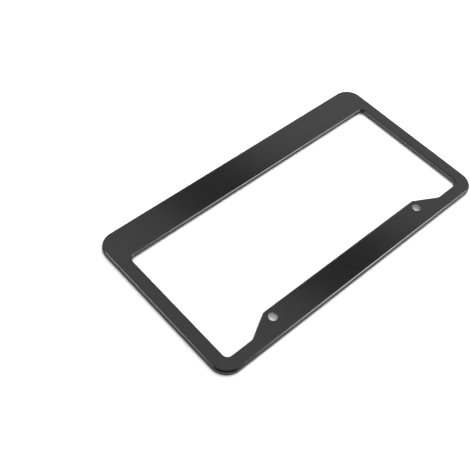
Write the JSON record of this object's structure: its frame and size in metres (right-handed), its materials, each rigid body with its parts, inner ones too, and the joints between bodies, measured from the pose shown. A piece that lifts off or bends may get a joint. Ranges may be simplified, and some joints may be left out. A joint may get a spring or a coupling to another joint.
{
  "type": "number plate frame",
  "caption": "Flat rectangular frame of folded sheet metal that surrounds a vehicle number plate, with a wide plain bar and a stepped bar with screw holes.",
  "frame": {"origin": "middle of the back rim, at the centre of the length and the width; the rim stands on Z = 0", "axes": "+X along the long side, +Y towards the bar with the screw holes, +Z out of the face"},
  "size_m": [0.31, 0.1624, 0.005],
  "materials": {
    "coat": "satin black powder coat on sheet steel"
  },
  "bodies": {
    "root": {"frame": "coat"}
  },
  "joints": []
}
